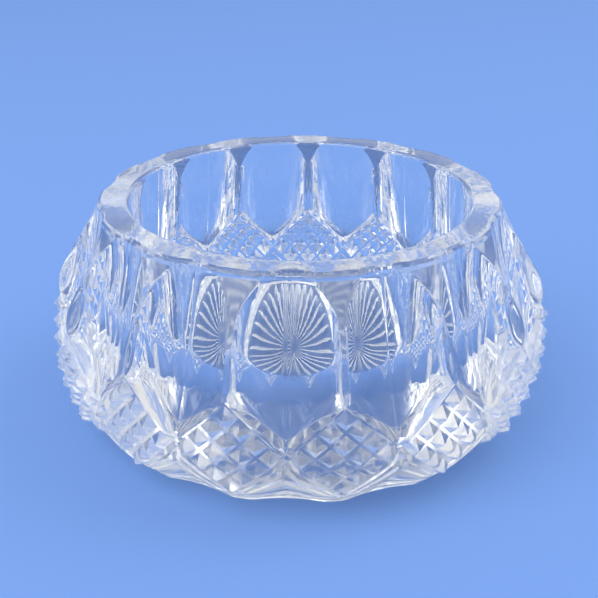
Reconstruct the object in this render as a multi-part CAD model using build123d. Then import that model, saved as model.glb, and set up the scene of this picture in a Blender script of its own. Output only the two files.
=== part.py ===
from build123d import *
import math
import os

os.makedirs("parts", exist_ok=True)

# Barrel form, millimetres. The foot rests on z = 0 and the mouth opens upward.
overall_height = 31.5
belly_radius = 34.3
rim_radius = 27.3
foot_radius = 29.0
shoulder_height = 20.0
shoulder_round = 7.0
belly_low = 12.0
bulge_radius = 33.5
bulge_height = 7.6
knee_radius = 32.0
knee_height = 3.2

# Plunger side of the mould: the well's upright collar, its tapered lower wall and its flat floor.
rim_width = 3.7
collar_draft = 0.1
collar_height = 17.3
wall_taper = 4.1
floor_thickness = 3.0
floor_bevel = 1.8
rim_inner_bevel = 0.7
rim_outer_bevel = 0.3

# Cut pattern. Every panel holds one tall flute, one lozenge of diamonds and one foot scallop.
panel_count = 15
first_flute_angle = -92.9
flute_radius = 10.0
flute_rim_depth = 0.8
flute_shoulder_depth = 3.8
flute_overlap = 1.2
flute_underrun = 0.6
lozenge_mid_height = 9.9
lozenge_height = 14.4
diamonds_per_side = 4
lozenge_gap = 0.25
groove_lift = 0.25
diamond_lift = 1.1
lozenge_root = 2.6
scallop_radius = 24.0
scallop_foot_depth = 1.0
scallop_height = 6.5

# Underside: a shallow recess inside the foot ring, with a star of rays cut into it.
recess_radius = 20.5
recess_depth = 0.4
ray_count = 30
ray_start = 2.5
ray_widest = 14.0
ray_end = 18.8
ray_depth = 0.8
ray_fill = 0.78

# How far cutters run past the faces that they cut.
cut_margin = 1.0

# Values that follow from the sizes above.
panel_pitch = 360.0 / panel_count
half_panel = math.pi * belly_radius / panel_count
mouth_radius = rim_radius - rim_width
collar_radius = mouth_radius - collar_draft
floor_radius = collar_radius - wall_taper


def round_corner(before, corner, after, radius):
    # Start, middle and end of the arc that rounds a corner of the profile.
    into = Vector(*before) - Vector(*corner)
    out = Vector(*after) - Vector(*corner)
    half_angle = math.radians(into.get_angle(out)) / 2
    run = radius / math.tan(half_angle)
    inward = (into.normalized() + out.normalized()).normalized()
    centre = Vector(*corner) + inward * (radius / math.sin(half_angle))
    start = Vector(*corner) + into.normalized() * run
    end = Vector(*corner) + out.normalized() * run
    return start, centre - inward * radius, end


def bevel_corner(before, corner, after, length):
    # Ends of the flat that bevels a corner of the profile.
    into = (Vector(*before) - Vector(*corner)).normalized()
    out = (Vector(*after) - Vector(*corner)).normalized()
    return Vector(*corner) + into * length, Vector(*corner) + out * length


# Corners of the profile as (radius, height), and the arcs that round them.
foot_edge = (foot_radius, 0)
knee = (knee_radius, knee_height)
bulge = (bulge_radius, bulge_height)
belly = (belly_radius, belly_low)
shoulder = (belly_radius, shoulder_height)
rim_outer = (rim_radius, overall_height)
rim_inner = (mouth_radius, overall_height)
collar_edge = (collar_radius, collar_height)
floor_edge = (floor_radius, floor_thickness)
floor_middle = (0, floor_thickness)
shoulder_arc = round_corner(belly, shoulder, rim_outer, shoulder_round)
rim_outer_flat = bevel_corner(shoulder, rim_outer, rim_inner, rim_outer_bevel)
rim_inner_flat = bevel_corner(rim_outer, rim_inner, collar_edge, rim_inner_bevel)
floor_flat = bevel_corner(collar_edge, floor_edge, floor_middle, floor_bevel)
shoulder_low = shoulder_arc[0].Y
shoulder_high = shoulder_arc[2].Y


def cone_radius(height, low, high):
    # Radius at a height on the straight line between two corners of the profile.
    return low[0] + (high[0] - low[0]) * (height - low[1]) / (high[1] - low[1])


def barrel_radius(height):
    # Radius of the uncut barrel at a height: cone, shoulder arc, upright band, two belly cones, foot chamfer.
    if height >= shoulder_high:
        return cone_radius(height, shoulder, rim_outer)
    if height >= shoulder_low:
        rise = height - shoulder_low
        return belly_radius - shoulder_round + math.sqrt(shoulder_round**2 - rise**2)
    if height >= belly_low:
        return belly_radius
    if height >= bulge_height:
        return cone_radius(height, bulge, belly)
    if height >= knee_height:
        return cone_radius(height, knee, bulge)
    return cone_radius(height, foot_edge, knee)


def barrel_plane(height):
    # Plane that touches the barrel at a height, on the +X side: x runs round it, z points out of it.
    step = 0.05
    slope = (barrel_radius(height + step) - barrel_radius(height - step)) / (2 * step)
    lean = math.atan(slope)
    return Plane(
        origin=(barrel_radius(height), 0, height),
        x_dir=(0, 1, 0),
        z_dir=(math.cos(lean), 0, -math.sin(lean)),
    )


# Blank: the barrel turned with the well, the recess and the rim edges in one closed profile.
recess_edge = (recess_radius, recess_depth)
foot_ring = (recess_radius + recess_depth, 0)
with BuildPart() as blank:
    with BuildSketch(Plane.XZ):
        with BuildLine():
            Polyline((0, recess_depth), recess_edge, foot_ring, foot_edge, knee, bulge, belly, shoulder_arc[0])
            ThreePointArc(*shoulder_arc)
            Polyline(shoulder_arc[2], *rim_outer_flat, *rim_inner_flat, collar_edge, *floor_flat, floor_middle)
            Line(floor_middle, (0, recess_depth))
        make_face()
    revolve(axis=Axis.Z)

# Flute cutter: a leaning cylinder, ended below in a V that runs a little under the lozenge edges.
flute_top_radius = rim_radius - flute_rim_depth
flute_low_height = (shoulder_low + shoulder_high) / 2
flute_low_radius = barrel_radius(flute_low_height) - flute_shoulder_depth
flute_lean = math.atan2(flute_low_radius - flute_top_radius, overall_height - flute_low_height)
flute_plane = Plane(
    origin=(flute_top_radius, 0, overall_height),
    x_dir=(math.cos(flute_lean), 0, math.sin(flute_lean)),
    z_dir=(math.sin(flute_lean), 0, -math.cos(flute_lean)),
)
flute_wheel = flute_plane * Pos(flute_radius, 0, 0) * Cylinder(flute_radius, 4 * overall_height)
lozenge_top = lozenge_mid_height + lozenge_height / 2
flute_half = half_panel + flute_overlap
flute_point = lozenge_mid_height - flute_underrun
flute_shelf = lozenge_top - flute_underrun + flute_overlap * (lozenge_height / 2) / half_panel
flute_outline = Polygon(
    (0, flute_point),
    (flute_half, flute_shelf),
    (flute_half, overall_height + cut_margin),
    (-flute_half, overall_height + cut_margin),
    (-flute_half, flute_shelf),
    align=None,
)
flute_cutter = flute_wheel & extrude(Plane.YZ * flute_outline, amount=belly_radius + cut_margin)
panel_turns = [Rot(0, 0, first_flute_angle + panel * panel_pitch) for panel in range(panel_count)]
bowl = blank.part - [turn * flute_cutter for turn in panel_turns]

# Foot scallop cutter: a leaning cylinder that hollows the chamfer under each flute.
scallop_foot_radius = foot_radius - scallop_foot_depth
scallop_lean = math.atan2(barrel_radius(scallop_height) - scallop_foot_radius, scallop_height)
scallop_plane = Plane(
    origin=(scallop_foot_radius, 0, 0),
    x_dir=(math.cos(scallop_lean), 0, -math.sin(scallop_lean)),
    z_dir=(math.sin(scallop_lean), 0, math.cos(scallop_lean)),
)
scallop_cutter = scallop_plane * Pos(scallop_radius, 0, 0) * Cylinder(scallop_radius, overall_height)
bowl = bowl - [turn * scallop_cutter for turn in panel_turns]

# Lozenge: a faceted cap of small pyramids that stands on the barrel, closed below by a root in the glass.
lozenge_share = 1 - lozenge_gap / half_panel
diamond_height = lozenge_height * lozenge_share / diamonds_per_side
diamond_angle = panel_pitch * lozenge_share / diamonds_per_side


def facet(*corners):
    return Face(Wire.make_polygon(corners))


def cap_point(across, along, lift):
    # Point over the barrel, in half diamonds from the middle of the lozenge on the +X side.
    height = lozenge_mid_height + along * diamond_height / 2
    touching = barrel_plane(height)
    return (touching.origin + touching.z_dir * lift).rotate(Axis.Z, across * diamond_angle / 2)


# Pyramids by rows and columns along the two sides of the lozenge, then its outline, skirt and root.
compass = [(0, 1), (1, 0), (0, -1), (-1, 0)]
cap = []
for left in range(diamonds_per_side):
    for right in range(diamonds_per_side):
        across = right - left
        along = diamonds_per_side - 1 - left - right
        tip = cap_point(across, along, diamond_lift)
        grooves = [cap_point(across + x, along + y, groove_lift) for x, y in compass]
        cap += [facet(tip, grooves[side], grooves[side - 1]) for side in range(4)]
outline = []
for side in range(4):
    (from_x, from_y), (to_x, to_y) = compass[side], compass[(side + 1) % 4]
    for step in range(diamonds_per_side):
        back = diamonds_per_side - step
        outline.append((from_x * back + to_x * step, from_y * back + to_y * step))
upper = [cap_point(x, y, groove_lift) for x, y in outline]
lower = [cap_point(x, y, -lozenge_root) for x, y in outline]
middle = cap_point(0, 0, -lozenge_root)
for edge in range(len(outline)):
    cap.append(facet(upper[edge - 1], upper[edge], lower[edge]))
    cap.append(facet(upper[edge - 1], lower[edge], lower[edge - 1]))
    cap.append(facet(lower[edge - 1], lower[edge], middle))
lozenge = Solid(Shell(cap))
bowl = bowl + [turn * Rot(0, 0, panel_pitch / 2) * lozenge for turn in panel_turns]

# Star: rays sunk into the recess, each a hollow kite that is widest near its outer end.
ray_half = math.pi * ray_widest * ray_fill / ray_count
ray_plan = [(ray_start, 0), (ray_widest, ray_half), (ray_end, 0), (ray_widest, -ray_half)]
kite = [Vector(x, y, recess_depth) for x, y in ray_plan]
ray_bottom = Vector(ray_widest, 0, recess_depth + ray_depth)
ray = Solid(Shell([facet(*kite)] + [facet(kite[side - 1], kite[side], ray_bottom) for side in range(4)]))
bowl = bowl - [Rot(0, 0, (turn + 0.5) * 360.0 / ray_count) * ray for turn in range(ray_count)]

bowl.label = "glass_bowl"
export_step(bowl, "parts/glass_bowl.step")
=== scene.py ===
import math
import bmesh
import bpy
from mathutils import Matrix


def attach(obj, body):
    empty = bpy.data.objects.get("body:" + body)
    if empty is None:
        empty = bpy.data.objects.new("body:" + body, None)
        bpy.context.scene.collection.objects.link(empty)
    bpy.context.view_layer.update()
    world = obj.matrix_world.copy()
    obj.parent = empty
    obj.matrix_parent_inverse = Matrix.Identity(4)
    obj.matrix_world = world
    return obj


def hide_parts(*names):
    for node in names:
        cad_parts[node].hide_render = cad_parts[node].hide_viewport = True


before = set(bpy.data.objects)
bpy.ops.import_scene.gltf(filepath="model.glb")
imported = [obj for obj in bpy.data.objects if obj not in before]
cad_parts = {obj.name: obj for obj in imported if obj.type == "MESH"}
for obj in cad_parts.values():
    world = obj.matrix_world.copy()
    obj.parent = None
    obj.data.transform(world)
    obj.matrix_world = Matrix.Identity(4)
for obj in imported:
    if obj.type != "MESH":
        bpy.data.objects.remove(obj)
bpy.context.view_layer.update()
print("frame loaded")

mmPerMetre = 1000  # the glass is worked out in millimetres, Blender takes metres


def hexColor(code):
    # sRGB hex to the linear colour that sockets take
    parts = [int(code[i:i + 2], 16) / 255 for i in (1, 3, 5)]
    linear = [c / 12.92 if c <= 0.04045 else ((c + 0.055) / 1.055) ** 2.4 for c in parts]
    return (*linear, 1.0)


def addNode(tree, kind, inputs=None, **settings):
    # one node, its settings, and values or links for its sockets
    node = tree.nodes.new(kind)
    for name, value in settings.items():
        setattr(node, name, value)
    for socket, value in (inputs or {}).items():
        if isinstance(value, bpy.types.NodeSocket):
            tree.links.new(value, node.inputs[socket])
        else:
            node.inputs[socket].default_value = value
    return node


# barrel of the bowl, in millimetres: what is left of it shows as darts, lands and foot
barrel = {
    "height": 31.5,
    "rimRadius": 27.3,
    "bellyRadius": 34.4,
    "shoulderHeight": 20.0,
    "shoulderRound": 7.0,
    "bellyLow": 12.0,
    "kneeRadius": 32.0,
    "kneeHeight": 3.2,
    "footRadius": 29.0,
}


def barrelRadius(height):
    # from the top: cone, rounded shoulder, upright band, bowed belly, foot chamfer
    b = barrel
    lean = math.atan2(b["bellyRadius"] - b["rimRadius"], b["height"] - b["shoulderHeight"])
    low = b["shoulderHeight"] - b["shoulderRound"] * math.tan(lean / 2)
    high = low + b["shoulderRound"] * math.sin(lean)
    if height >= high:
        return b["rimRadius"] + (b["height"] - height) * math.tan(lean)
    if height >= low:
        rise = height - low
        return b["bellyRadius"] - b["shoulderRound"] + math.sqrt(b["shoulderRound"] ** 2 - rise ** 2)
    if height >= b["bellyLow"]:
        return b["bellyRadius"]
    if height >= b["kneeHeight"]:
        inset = b["bellyRadius"] - b["kneeRadius"]
        drop = b["bellyLow"] - b["kneeHeight"]
        bow = (inset ** 2 + drop ** 2) / (2 * inset)
        return b["bellyRadius"] - bow + math.sqrt(bow ** 2 - (b["bellyLow"] - height) ** 2)
    return b["footRadius"] + (b["kneeRadius"] - b["footRadius"]) * height / b["kneeHeight"]


# small round hollow where two lozenges and the flute's tip meet
tipHollow = {
    "height": 9.6,
    "reach": 2.0,
    "depth": 0.9,
}


def hollowDepth(angle, height):
    across = barrel["bellyRadius"] * math.radians(angle)
    share = (across ** 2 + (height - tipHollow["height"]) ** 2) / tipHollow["reach"] ** 2
    return tipHollow["depth"] * max(0, 1 - share) ** 2


def place(angle, radius, height):
    # degrees from the flute's middle, radius and height in millimetres, to a point in metres
    turn = math.radians(angle)
    x = radius * math.cos(turn) / mmPerMetre
    y = radius * math.sin(turn) / mmPerMetre
    return (x, y, height / mmPerMetre)


def barrelPoint(angle, height, lift):
    # point over the barrel, lifted along its normal
    step = 0.05
    slope = (barrelRadius(height + step) - barrelRadius(height - step)) / (2 * step)
    size = math.hypot(1, slope)
    lift -= hollowDepth(angle, height)
    return place(angle, barrelRadius(height) + lift / size, height - lift * slope / size)


# flutes: tall hollow cuts from the rim down to a pointed end between two lozenges
flute = {
    "count": 15,
    "firstAngle": -92.9,
    "radius": 19.0,
    "rimDepth": 0.1,
    "spread": 0.235,       # how far the cut's floor leans out for each mm down
    "endRise": 1.7,        # the floor turns outwards at its pointed end
    "endRisePower": 3,
    "edgeRise": 0.5,       # and steepens towards its two edges
    "edgeRisePower": 4,
    "softEdge": 0.05,      # rounding left by the mould and the fire polish
    "landHalf": 0.3,       # half of the narrow land between two flutes, under the dart
    "sideReach": 0.6,      # the cut curves up to that land within this distance
    "endReach": 1.4,       # the cut curves up towards the lozenges within this distance
    "endDepth": 0.35,      # and stays this deep at their edges
    "endGap": 0.25,
    "endArch": 0.15,       # one small arch for each diamond along the edge
    "seamHeight": 0.07,    # fine upright line down the middle of each cut
    "seamHalf": 0.22,
    "topHeight": 30.4,
    "seamAngles": [0.22, 0.5],
    "floorColumns": 14,
    "floorCrowding": 1.5,  # the floor's columns draw closer towards its edge
    "edgeColumns": 5,
    "edgeBand": 5,         # half width of the rounded edge's columns, in soft edges
    "dartColumns": 4,
    "bodyRows": 26,
}
halfPitch = 180 / flute["count"]

# lozenges: four by four diamonds standing over the lower half of the barrel
lozenge = {
    "middleHeight": 9.9,
    "halfHeight": 7.2,
    "perSide": 4,
    "split": 4,           # parts of each diamond's edge
    "grooveLevel": -0.1,
    "diamondHeight": 1.2,
    "grooveShare": 0.83,  # the rest of each diamond is the channel round it
    "tipCircle": 0.85,    # size of the circle that the outline turns into near the tip
    # share of the outline, share of the height, and how round the outline is there
    "rings": [(1.0, 0.0, 0.0), (0.5, 0.5, 0.0), (0.14, 0.86, 0.15), (0.06, 0.92, 0.6), (0.0, 0.94, 1.0)],
}
edgeParts = lozenge["perSide"] * lozenge["split"]


def fluteRadius(angle, height):
    down = barrel["height"] - height
    floor = barrel["rimRadius"] - flute["rimDepth"] + flute["spread"] * down
    endShare = down / (barrel["height"] - lozenge["middleHeight"])
    floor += flute["endRise"] * endShare ** flute["endRisePower"]
    middle = floor + flute["radius"]
    turn = math.radians(angle)
    reach = math.sqrt(max(0, flute["radius"] ** 2 - (middle * math.sin(turn)) ** 2))
    hollow = middle * math.cos(turn) - reach
    seam = flute["seamHeight"] * math.exp(-(floor * turn / flute["seamHalf"]) ** 2)
    return hollow + seam + flute["edgeRise"] * (angle / halfPitch) ** flute["edgeRisePower"]


def fluteEdge(height):
    # angle at which the flute runs out on the dart, or on the narrow land under it
    skin = barrelRadius(height)
    low = 0.0
    high = halfPitch - math.degrees(flute["landHalf"] / skin)
    if fluteRadius(high, height) < skin:
        return high
    halvings = 40
    for _ in range(halvings):
        middle = (low + high) / 2
        if fluteRadius(middle, height) < skin:
            low = middle
        else:
            high = middle
    return low


def wallRadius(angle, height):
    # flute, neighbouring flute and barrel, with the edges between them softened
    soft = flute["softEdge"]
    skin = barrelRadius(height)
    radii = [fluteRadius(angle, height), fluteRadius(2 * halfPitch - angle, height), skin]
    least = min(radii)
    radius = least - soft * math.log(sum(math.exp((least - r) / soft) for r in radii))
    # up to the land at the flute's side
    aside = max(0, math.radians(halfPitch - angle) * skin - flute["landHalf"])
    blend = max(0, 1 - aside / flute["sideReach"]) ** 2
    radius += max(0, skin - radius) * blend
    # up to the lozenge at its end
    edgeHeight = lozenge["middleHeight"] + lozenge["halfHeight"] * angle / halfPitch
    away = max(0, height - edgeHeight) / math.sqrt(2)
    blend = max(0, 1 - away / flute["endReach"]) ** 2
    radius += max(0, skin - flute["endDepth"] - radius) * blend
    return radius - hollowDepth(angle, height)


def wallColumns(height):
    # angles of the columns at a height, crowded where the flute's edge is rounded
    edge = fluteEdge(height)
    band = math.degrees(flute["edgeBand"] * flute["softEdge"] / barrelRadius(height))
    first = edge - band
    last = min(edge + band, halfPitch)
    columns = flute["floorColumns"]
    angles = [0.0] + flute["seamAngles"]
    angles += [first * (1 - (1 - i / columns) ** flute["floorCrowding"]) for i in range(1, columns + 1)]
    for start, end, count in [(first, last, flute["edgeColumns"]), (last, halfPitch, flute["dartColumns"])]:
        angles += [start + (end - start) * i / count for i in range(1, count + 1)]
    return angles


# half a panel, from the flute's middle to the lozenge's; the rest are its copies
halfVerts = []
halfFaces = []


def addGrid(rows):
    # quads between rows of points; shared borders are merged later
    start = len(halfVerts)
    width = len(rows[0])
    for row in rows:
        halfVerts.extend(row)
    for j in range(len(rows) - 1):
        for i in range(width - 1):
            corner = start + j * width + i
            halfFaces.append((corner, corner + 1, corner + width + 1, corner + width))


def addFace(points):
    start = len(halfVerts)
    halfVerts.extend(points)
    halfFaces.append(tuple(range(start, start + len(points))))


def endHeight(share):
    # height of the flute's lower border, just above the lozenge's edge
    height = lozenge["middleHeight"] + lozenge["halfHeight"] * share
    arch = abs(math.sin(math.pi * lozenge["perSide"] * share))
    return height + flute["endGap"] + flute["endArch"] * arch


def addFlute():
    # pointed end, then flute, land and dart up to the band under the rim
    endRows = []
    bodyLow = endHeight(1)
    endColumns = wallColumns(bodyLow)
    for i in range(edgeParts + 1):
        share = i / edgeParts
        height = endHeight(share)
        angles = [angle * share for angle in endColumns]
        endRows.append([place(angle, wallRadius(angle, height), height) for angle in angles])
    addGrid(endRows)
    bodyRows = []
    for j in range(flute["bodyRows"] + 1):
        height = bodyLow + (flute["topHeight"] - bodyLow) * j / flute["bodyRows"]
        bodyRows.append([place(angle, wallRadius(angle, height), height) for angle in wallColumns(height)])
    addGrid(bodyRows)
    return [row[-1] for row in endRows], bodyRows[-1]


def latticePoint(across, along, lift):
    # half diamonds from the lozenge's middle, which is half a pitch from the flute's middle
    angle = halfPitch * (1 + across / lozenge["perSide"])
    height = lozenge["middleHeight"] + lozenge["halfHeight"] * along / lozenge["perSide"]
    return barrelPoint(angle, height, lift)


def addStep(endBorder):
    # low wall between the flute's pointed end and the lozenge
    side = lozenge["perSide"]
    edge = []
    for i in range(edgeParts + 1):
        along = side * i / edgeParts
        edge.append(latticePoint(-side + along, along, lozenge["grooveLevel"]))
    addGrid([endBorder, edge])


def diamondOutline(corners):
    # points along a diamond's edges, in half diamonds from its middle
    split = lozenge["split"]
    points = []
    for (x0, y0), (x1, y1) in zip(corners, corners[1:]):
        points += [(x0 + (x1 - x0) * i / split, y0 + (y1 - y0) * i / split) for i in range(split)]
    return points + [corners[-1]]


def addDiamond(across, along):
    # flat channel, then a pyramid with soft ridges and tip; in the lozenge's middle it is a half
    compass = [(0, 1), (-1, 0), (0, -1), (1, 0), (0, 1)]
    outline = diamondOutline(compass[:3] if across == 0 else compass)
    rows = [[latticePoint(across + x, along + y, lozenge["grooveLevel"]) for x, y in outline]]
    for size, rise, soft in lozenge["rings"]:
        lift = lozenge["grooveLevel"] + lozenge["diamondHeight"] * rise
        row = []
        for x, y in outline:
            circle = lozenge["tipCircle"] / math.hypot(x, y)
            scale = lozenge["grooveShare"] * size * (1 - soft + soft * circle)
            row.append(latticePoint(across + x * scale, along + y * scale, lift))
        rows.append(row)
    addGrid(rows)


def addDiamonds():
    side = lozenge["perSide"]
    for left in range(side):
        for right in range(left + 1):
            addDiamond(right - left, side - 1 - left - right)


# foot: channels and lands under the lozenges, then a hollow lens facet over the scalloped edge
foot = {
    "lensTop": 5.6,
    "lensEnd": 1.4,
    "scallopDepth": 1.0,
    "scallopShare": 0.78,
    # share of the way down to the lens, and height over the barrel
    "bands": [
        (0.0, lozenge["grooveLevel"]), (0.22, -0.1), (0.3, 0.12), (0.52, 0.12), (0.58, -0.15),
        (0.66, -0.15), (0.72, 0.1), (0.86, 0.1), (0.92, -0.1), (1.0, -0.1),
    ],
    "lensRows": 8,
    "lensHollow": 0.35,
    "ringInner": 21.1,
    "recessRadius": 20.5,
    "recessDepth": 0.4,
}


def footOutline(share):
    hollow = max(0, 1 - (share / foot["scallopShare"]) ** 2)
    return barrel["footRadius"] - foot["scallopDepth"] * hollow


def addFoot():
    bandRows = [[] for _ in foot["bands"]]
    lensRows = [[] for _ in range(foot["lensRows"] + 1)]
    for i in range(edgeParts + 1):
        share = i / edgeParts
        angle = halfPitch * share
        top = lozenge["middleHeight"] - lozenge["halfHeight"] * share
        low = foot["lensTop"] + (foot["lensEnd"] - foot["lensTop"]) * share
        for row, (down, lift) in zip(bandRows, foot["bands"]):
            row.append(barrelPoint(angle, top + (low - top) * down, lift))
        x, y, z = bandRows[-1][-1]
        lensRadius = math.hypot(x, y) * mmPerMetre
        lensHeight = z * mmPerMetre
        for j, row in enumerate(lensRows):
            down = j / foot["lensRows"]
            # deepest half way down and under the flute's middle
            hollow = foot["lensHollow"] * 4 * down * (1 - down) * max(0, 1 - share ** 2)
            radius = lensRadius + (footOutline(share) - lensRadius) * down - hollow
            row.append(place(angle, radius, lensHeight * (1 - down)))
    addGrid(bandRows)
    addGrid(lensRows)
    return lensRows[-1]


# star under the foot: one hollow ray for each half panel
star = {
    "inner": 1.2,
    "widest": 14.5,
    "outer": 19.0,
    "fill": 0.97,
    "depth": 0.8,
    "points": 8,
}
rayMiddle = halfPitch / 2
rayHalf = star["widest"] * math.sin(math.radians(rayMiddle)) * star["fill"]


def rayWidth(radius):
    # half the ray's width: straight sides to where it is widest, then a round end
    if radius < star["widest"]:
        return rayHalf * (radius - star["inner"]) / (star["widest"] - star["inner"])
    past = (radius - star["widest"]) / (star["outer"] - star["widest"])
    return rayHalf * math.sqrt(max(0, 1 - past ** 2))


def addUnderside(footEdge):
    # foot ring and recess, with the ray sunk into the recess
    level = foot["recessDepth"]
    angles = [halfPitch * i / edgeParts for i in range(edgeParts + 1)]
    ringEdge = [place(angle, foot["ringInner"], 0) for angle in angles]
    recessEdge = [place(angle, foot["recessRadius"], level) for angle in angles]
    addGrid([footEdge, ringEdge, recessEdge])
    leftSide, bottomLine, rightSide = [], [], []
    for i in range(star["points"] + 1):
        share = i / star["points"]
        radius = star["inner"] + (star["outer"] - star["inner"]) * math.sin(share * math.pi / 2)
        width = rayWidth(radius)
        turn = math.degrees(math.asin(width / radius))
        leftSide.append(place(rayMiddle - turn, radius, level))
        rightSide.append(place(rayMiddle + turn, radius, level))
        bottomLine.append(place(rayMiddle, radius, level + star["depth"] * width / rayHalf))
    addGrid([leftSide, bottomLine, rightSide])
    middlePoint = place(0, 0, level)
    halfWay = edgeParts // 2
    addFace([middlePoint] + recessEdge[:halfWay + 1] + leftSide[::-1])
    addFace([middlePoint] + rightSide + recessEdge[halfWay:])


# rounded rim, and the smooth well that the plunger left
well = {
    "outerRound": 0.9,
    "outerParts": 4,
    "mouthRadius": 23.6,
    "mouthRound": 0.6,
    "mouthParts": 5,
    "collarRadius": 23.5,
    "collarHeight": 17.3,
    "collarRound": 12.0,
    "floorRadius": 19.4,
    "floorHeight": 3.0,
    "floorRound": 2.0,
    "wallRows": 4,
    "roundRows": 10,
}


def unit(start, end):
    size = math.hypot(end[0] - start[0], end[1] - start[1])
    return ((end[0] - start[0]) / size, (end[1] - start[1]) / size)


def cornerArc(before, corner, after, radius, count):
    # points of the arc that rounds a corner of the profile
    into, out = unit(corner, before), unit(corner, after)
    half = math.acos(into[0] * out[0] + into[1] * out[1]) / 2
    run = radius / math.tan(half)
    inward = unit((0, 0), (into[0] + out[0], into[1] + out[1]))
    centre = [corner[i] + inward[i] * radius / math.sin(half) for i in (0, 1)]
    first = [corner[i] + into[i] * run - centre[i] for i in (0, 1)]
    last = [corner[i] + out[i] * run - centre[i] for i in (0, 1)]
    sweep = math.pi - 2 * half
    points = []
    for step in range(count + 1):
        turn = sweep * step / count
        weights = (math.sin(sweep - turn) / math.sin(sweep), math.sin(turn) / math.sin(sweep))
        points.append(tuple(centre[i] + first[i] * weights[0] + last[i] * weights[1] for i in (0, 1)))
    return points


def wellProfile():
    # radius and height from the mouth's rounded edge down the wall to the middle of the floor
    rimEdge = (barrel["rimRadius"], barrel["height"])
    mouthEdge = (well["mouthRadius"], barrel["height"])
    collarEdge = (well["collarRadius"], well["collarHeight"])
    floorEdge = (well["floorRadius"], well["floorHeight"])
    floorMiddle = (0, well["floorHeight"])
    profile = cornerArc(rimEdge, mouthEdge, collarEdge, well["mouthRound"], well["mouthParts"])
    for before, corner, after, radius in [
        (mouthEdge, collarEdge, floorEdge, well["collarRound"]),
        (collarEdge, floorEdge, floorMiddle, well["floorRound"]),
    ]:
        arc = cornerArc(before, corner, after, radius, well["roundRows"])
        (startRadius, startHeight), (endRadius, endLevel) = profile[-1], arc[0]
        for i in range(1, well["wallRows"]):
            share = i / well["wallRows"]
            wallAt = startRadius + (endRadius - startRadius) * share
            profile.append((wallAt, startHeight + (endLevel - startHeight) * share))
        profile += arc
    return profile + [floorMiddle]


def addRimAndWell(topRow):
    columns = wallColumns(flute["topHeight"])
    radii = [wallRadius(angle, flute["topHeight"]) for angle in columns]
    rows = [topRow]
    for i in range(well["outerParts"] + 1):
        bend = math.pi / 2 * i / well["outerParts"]
        inward = well["outerRound"] * (1 - math.cos(bend))
        height = barrel["height"] - well["outerRound"] * (1 - math.sin(bend))
        rows.append([place(angle, radius - inward, height) for angle, radius in zip(columns, radii)])
    for radius, height in wellProfile():
        rows.append([place(angle, radius, height) for angle in columns])
    addGrid(rows)


endBorder, topRow = addFlute()
addStep(endBorder)
addDiamonds()
footEdge = addFoot()
addUnderside(footEdge)
addRimAndWell(topRow)
print("half panel:", len(halfFaces), "faces")

# one whole panel: the half and its mirror image
panelVerts = halfVerts + [(x, -y, z) for x, y, z in halfVerts]
panelFaces = halfFaces + [tuple(i + len(halfVerts) for i in reversed(face)) for face in halfFaces]
panelMesh = bpy.data.meshes.new("glassPanel")
panelMesh.from_pydata(panelVerts, [], panelFaces)
panelMesh.validate()
panel = bpy.data.objects.new("glassPanel", panelMesh)
bpy.context.scene.collection.objects.link(panel)


# clear pressed glass, fire polished: see-through and colourless, with slow waves that smear what lies behind
glassLook = {
    "tint": "#FBFDFF",
    "ior": 1.52,
    "waveMm": 1.7,         # across the wall
    "waveStretch": 0.14,   # slower up the wall, so that the waves run upright
    "waveDetail": 4.0,
    "waveRoughness": 0.6,
    "waveDepthMm": 0.014,
    "rimWaves": 5.0,       # the rim is left less even than the walls
    "rimHeight": 31.0,
    "rimFade": 0.5,
    "polished": 0.0,       # flutes and well
    "moulded": 0.14,       # diamonds and foot, outside this radius
    "mouldedRadius": 33.3,
    "mouldedFade": 0.3,
    "mouldedHeight": 9.5,  # below it that radius draws in with the foot
    "mouldedSlope": 0.5,
    "starGrain": 0.3,
    "starRadius": 19.8,
    "starHeight": 1.5,
    "dartGrain": 0.12,
    "dartDepth": 0.06,
}


def surfaceWaves(tree, coords, axes):
    stretch = addNode(tree, "ShaderNodeMapping", {
        "Vector": coords.outputs["Object"],
        "Scale": (1, 1, glassLook["waveStretch"]),
    })
    waves = addNode(tree, "ShaderNodeTexNoise", {
        "Vector": stretch.outputs["Vector"],
        "Scale": mmPerMetre / glassLook["waveMm"],
        "Detail": glassLook["waveDetail"],
        "Roughness": glassLook["waveRoughness"],
    })
    rim = addNode(tree, "ShaderNodeMapRange", {
        "Value": axes.outputs["Z"],
        "From Min": (glassLook["rimHeight"] - glassLook["rimFade"]) / mmPerMetre,
        "From Max": glassLook["rimHeight"] / mmPerMetre,
        "To Min": 1.0,
        "To Max": glassLook["rimWaves"],
    })
    swell = addNode(tree, "ShaderNodeMath", {
        0: waves.outputs["Fac"],
        1: rim.outputs["Result"],
    }, operation="MULTIPLY")
    relief = addNode(tree, "ShaderNodeBump", {
        "Height": swell.outputs["Value"],
        "Strength": 1.0,
        "Distance": glassLook["waveDepthMm"] / mmPerMetre,
    })
    return relief.outputs["Normal"]


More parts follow.
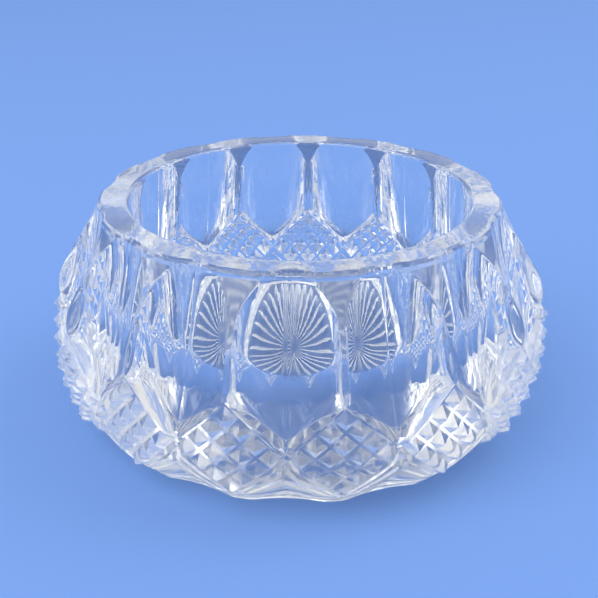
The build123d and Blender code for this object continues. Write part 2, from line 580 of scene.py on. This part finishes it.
def mouldGrain(tree, axes):
    # the diamonds and the foot keep the mould's fine grain
    flat = addNode(tree, "ShaderNodeCombineXYZ", {"X": axes.outputs["X"], "Y": axes.outputs["Y"]})
    radius = addNode(tree, "ShaderNodeVectorMath", {0: flat.outputs["Vector"]}, operation="LENGTH")
    below = addNode(tree, "ShaderNodeMath", {
        0: glassLook["mouldedHeight"] / mmPerMetre,
        1: axes.outputs["Z"],
    }, operation="SUBTRACT")
    drop = addNode(tree, "ShaderNodeMath", {0: below.outputs["Value"], 1: 0.0}, operation="MAXIMUM")
    widened = addNode(tree, "ShaderNodeMath", {
        0: drop.outputs["Value"],
        1: glassLook["mouldedSlope"],
        2: radius.outputs["Value"],
    }, operation="MULTIPLY_ADD")
    grain = addNode(tree, "ShaderNodeMapRange", {
        "Value": widened.outputs["Value"],
        "From Min": (glassLook["mouldedRadius"] - glassLook["mouldedFade"]) / mmPerMetre,
        "From Max": (glassLook["mouldedRadius"] + glassLook["mouldedFade"]) / mmPerMetre,
        "To Min": glassLook["polished"],
        "To Max": glassLook["moulded"],
    })
    # so does the star under the foot
    low = addNode(tree, "ShaderNodeMath", {
        0: axes.outputs["Z"],
        1: glassLook["starHeight"] / mmPerMetre,
    }, operation="LESS_THAN")
    inside = addNode(tree, "ShaderNodeMath", {
        0: radius.outputs["Value"],
        1: glassLook["starRadius"] / mmPerMetre,
    }, operation="LESS_THAN")
    onStar = addNode(tree, "ShaderNodeMath", {
        0: low.outputs["Value"],
        1: inside.outputs["Value"],
    }, operation="MULTIPLY")
    withStar = addNode(tree, "ShaderNodeMath", {
        0: onStar.outputs["Value"],
        1: glassLook["starGrain"],
        2: grain.outputs["Result"],
    }, operation="MULTIPLY_ADD")
    # and the darts, which are uncut skin of the barrel's cone
    lean = (barrel["bellyRadius"] - barrel["rimRadius"]) / (barrel["height"] - barrel["shoulderHeight"])
    conePlace = barrel["rimRadius"] + lean * barrel["height"] - glassLook["dartDepth"]
    onCone = addNode(tree, "ShaderNodeMath", {
        0: axes.outputs["Z"],
        1: lean,
        2: radius.outputs["Value"],
    }, operation="MULTIPLY_ADD")
    onDart = addNode(tree, "ShaderNodeMath", {
        0: onCone.outputs["Value"],
        1: conePlace / mmPerMetre,
    }, operation="GREATER_THAN")
    withDarts = addNode(tree, "ShaderNodeMath", {
        0: onDart.outputs["Value"],
        1: glassLook["dartGrain"],
        2: withStar.outputs["Value"],
    }, operation="MULTIPLY_ADD")
    return withDarts.outputs["Value"]


def pressedGlass():
    material = bpy.data.materials.new("clearPressedGlass")
    material.use_nodes = True
    tree = material.node_tree
    tree.nodes.clear()
    coords = addNode(tree, "ShaderNodeTexCoord")
    axes = addNode(tree, "ShaderNodeSeparateXYZ", {"Vector": coords.outputs["Object"]})
    shader = addNode(tree, "ShaderNodeBsdfPrincipled", {
        "Base Color": hexColor(glassLook["tint"]),
        "Roughness": mouldGrain(tree, axes),
        "IOR": glassLook["ior"],
        "Transmission Weight": 1.0,
        "Normal": surfaceWaves(tree, coords, axes),
    })
    addNode(tree, "ShaderNodeOutputMaterial", {"Surface": shader.outputs["BSDF"]})
    return material


glass = pressedGlass()
print("glass mixed")


def ringOfPanels():
    # the panel repeated round the axis, joined and given its glass
    tree = bpy.data.node_groups.new("panelRing", "GeometryNodeTree")
    for name, kind in [
        ("Geometry", "NodeSocketGeometry"),
        ("Panel Count", "NodeSocketInt"),
        ("First Flute Angle", "NodeSocketFloat"),
        ("Weld Distance", "NodeSocketFloat"),
        ("Glass", "NodeSocketMaterial"),
    ]:
        tree.interface.new_socket(name, in_out="INPUT", socket_type=kind)
    tree.interface.new_socket("Geometry", in_out="OUTPUT", socket_type="NodeSocketGeometry")
    given = addNode(tree, "NodeGroupInput")
    points = addNode(tree, "GeometryNodePoints", {"Count": given.outputs["Panel Count"]})
    index = addNode(tree, "GeometryNodeInputIndex")
    pitch = addNode(tree, "ShaderNodeMath", {
        0: 2 * math.pi,
        1: given.outputs["Panel Count"],
    }, operation="DIVIDE")
    angle = addNode(tree, "ShaderNodeMath", {
        0: index.outputs["Index"],
        1: pitch.outputs["Value"],
        2: given.outputs["First Flute Angle"],
    }, operation="MULTIPLY_ADD")
    turn = addNode(tree, "ShaderNodeCombineXYZ", {"Z": angle.outputs["Value"]})
    rotation = addNode(tree, "FunctionNodeEulerToRotation", {"Euler": turn.outputs["Vector"]})
    single = addNode(tree, "GeometryNodeGeometryToInstance", {"Geometry": given.outputs["Geometry"]})
    ring = addNode(tree, "GeometryNodeInstanceOnPoints", {
        "Points": points.outputs[0],
        "Instance": single.outputs["Instances"],
        "Rotation": rotation.outputs["Rotation"],
    })
    real = addNode(tree, "GeometryNodeRealizeInstances", {"Geometry": ring.outputs["Instances"]})
    weld = addNode(tree, "GeometryNodeMergeByDistance", {
        "Geometry": real.outputs["Geometry"],
        "Distance": given.outputs["Weld Distance"],
    })
    smooth = addNode(tree, "GeometryNodeSetShadeSmooth", {"Geometry": weld.outputs["Geometry"]})
    painted = addNode(tree, "GeometryNodeSetMaterial", {
        "Geometry": smooth.outputs["Geometry"],
        "Material": given.outputs["Glass"],
    })
    addNode(tree, "NodeGroupOutput", {"Geometry": painted.outputs["Geometry"]})
    return tree


# bowl: the ring of panels as one closed mesh
bowlFinish = {
    "weldMm": 0.004,
    "sliverMm": 0.001,
    "creaseAngle": 20,    # facets that meet at more than this keep a crisp edge
}
ringValues = {
    "Panel Count": flute["count"],
    "First Flute Angle": math.radians(flute["firstAngle"]),
    "Weld Distance": bowlFinish["weldMm"] / mmPerMetre,
    "Glass": glass,
}
modifier = panel.modifiers.new("panelRing", "NODES")
modifier.node_group = ringOfPanels()
for item in modifier.node_group.interface.items_tree:
    if item.in_out == "INPUT" and item.name in ringValues:
        modifier[item.identifier] = ringValues[item.name]
bpy.context.view_layer.update()
evaluated = panel.evaluated_get(bpy.context.evaluated_depsgraph_get())
bowlMesh = bpy.data.meshes.new_from_object(evaluated)
bowlMesh.name = "pressedGlassBowl"
panel.modifiers.clear()
bpy.data.objects.remove(panel)
bowl = bpy.data.objects.new("pressedGlassBowl", bowlMesh)
bpy.context.scene.collection.objects.link(bowl)

# slivers out, normals outwards
work = bmesh.new()
work.from_mesh(bowlMesh)
bmesh.ops.dissolve_degenerate(work, edges=work.edges, dist=bowlFinish["sliverMm"] / mmPerMetre)
bmesh.ops.recalc_face_normals(work, faces=work.faces)
openEdges = sum(1 for edge in work.edges if len(edge.link_faces) != 2)
volume = work.calc_volume(signed=True) * mmPerMetre ** 3
work.to_mesh(bowlMesh)
work.free()
bowlMesh.set_sharp_from_angle(angle=math.radians(bowlFinish["creaseAngle"]))
triangles = sum(len(polygon.vertices) - 2 for polygon in bowlMesh.polygons)
print("bowl:", triangles, "triangles,", openEdges, "open edges,", round(volume), "mm3")

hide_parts("glass_bowl")
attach(bowl, "root")

# studio, in metres: plain pale blue table, a white sky overhead and two large soft lamps
studio = {
    "table": "#7FA8F0",
    "tableRoughness": 0.9,
    "tableGloss": 0.1,
    "tableReach": 3.0,
    "tableGap": 0.0001,      # under the foot
    "backdrop": "#7A9FE2",
    "backdropTop": 0.02,     # the sky turns from the backdrop to white between these heights
    "overhead": "#FFFFFF",
    "overheadLow": 0.2,
    "skyStrength": 0.7,
    "seenStrength": 0.82,    # to the camera and in the glass
}


def paleTable():
    # matt laminate board: even pale blue, no gloss
    material = bpy.data.materials.new("mattLaminateTable")
    material.use_nodes = True
    shader = material.node_tree.nodes["Principled BSDF"]
    shader.inputs["Base Color"].default_value = hexColor(studio["table"])
    shader.inputs["Roughness"].default_value = studio["tableRoughness"]
    shader.inputs["Specular IOR Level"].default_value = studio["tableGloss"]
    return material


def studioSky():
    world = bpy.data.worlds.new("studioSky")
    world.use_nodes = True
    tree = world.node_tree
    tree.nodes.clear()
    direction = addNode(tree, "ShaderNodeTexCoord")
    upward = addNode(tree, "ShaderNodeSeparateXYZ", {"Vector": direction.outputs["Generated"]})
    dome = addNode(tree, "ShaderNodeValToRGB", {"Fac": upward.outputs["Z"]})
    lower, upper = dome.color_ramp.elements
    lower.position = studio["backdropTop"]
    lower.color = hexColor(studio["backdrop"])
    upper.position = studio["overheadLow"]
    upper.color = hexColor(studio["overhead"])
    path = addNode(tree, "ShaderNodeLightPath")
    direct = addNode(tree, "ShaderNodeMath", {
        0: path.outputs["Is Camera Ray"],
        1: path.outputs["Is Glossy Ray"],
    }, operation="ADD")
    seen = addNode(tree, "ShaderNodeMath", {
        0: direct.outputs["Value"],
        1: path.outputs["Is Transmission Ray"],
    }, operation="MAXIMUM")
    strength = addNode(tree, "ShaderNodeMapRange", {
        "Value": seen.outputs["Value"],
        "To Min": studio["skyStrength"],
        "To Max": studio["seenStrength"],
    })
    light = addNode(tree, "ShaderNodeBackground", {
        "Color": dome.outputs["Color"],
        "Strength": strength.outputs["Result"],
    })
    addNode(tree, "ShaderNodeOutputWorld", {"Surface": light.outputs["Background"]})
    return world


tableMesh = bpy.data.meshes.new("table")
reach = studio["tableReach"]
tableCorners = [(-reach, -reach, 0), (reach, -reach, 0), (reach, reach, 0), (-reach, reach, 0)]
tableMesh.from_pydata(tableCorners, [], [(0, 1, 2, 3)])
tableMesh.materials.append(paleTable())
table = bpy.data.objects.new("table", tableMesh)
table.location.z = -studio["tableGap"]
bpy.context.scene.collection.objects.link(table)
bpy.context.scene.world = studioSky()

lamps = [
    {"name": "keyLamp", "at": (-0.35, -0.25, 0.5), "size": 0.6, "watts": 1.5},
    {"name": "fillLamp", "at": (0.4, 0.1, 0.45), "size": 0.5, "watts": 0.8},
]
for lamp in lamps:
    lampData = bpy.data.lights.new(lamp["name"], "AREA")
    lampData.shape = "DISK"
    lampData.size = lamp["size"]
    lampData.energy = lamp["watts"]
    holder = bpy.data.objects.new(lamp["name"], lampData)
    holder.location = lamp["at"]
    holder.rotation_euler = (-holder.location).to_track_quat("-Z", "Y").to_euler()
    bpy.context.scene.collection.objects.link(holder)

# camera at the photograph's angle: 25 degrees down, close, with a short tele lens
view = {"lens": 65.38, "sensor": 36.0, "at": (-0.00011, -0.14303, 0.08265), "tilt": 64.7}
cameraData = bpy.data.cameras.new("photoCamera")
cameraData.lens = view["lens"]
cameraData.sensor_width = view["sensor"]
camera = bpy.data.objects.new("photoCamera", cameraData)
camera.location = view["at"]
camera.rotation_euler = (math.radians(view["tilt"]), 0, 0)
bpy.context.scene.collection.objects.link(camera)
bpy.context.scene.camera = camera

# light passes many glass walls before it leaves the bowl
glassBounces = 24
mirrorBounces = 12
scene = bpy.context.scene
scene.view_settings.view_transform = "Standard"
scene.cycles.max_bounces = glassBounces
scene.cycles.transmission_bounces = glassBounces
scene.cycles.glossy_bounces = mirrorBounces
print("studio set")
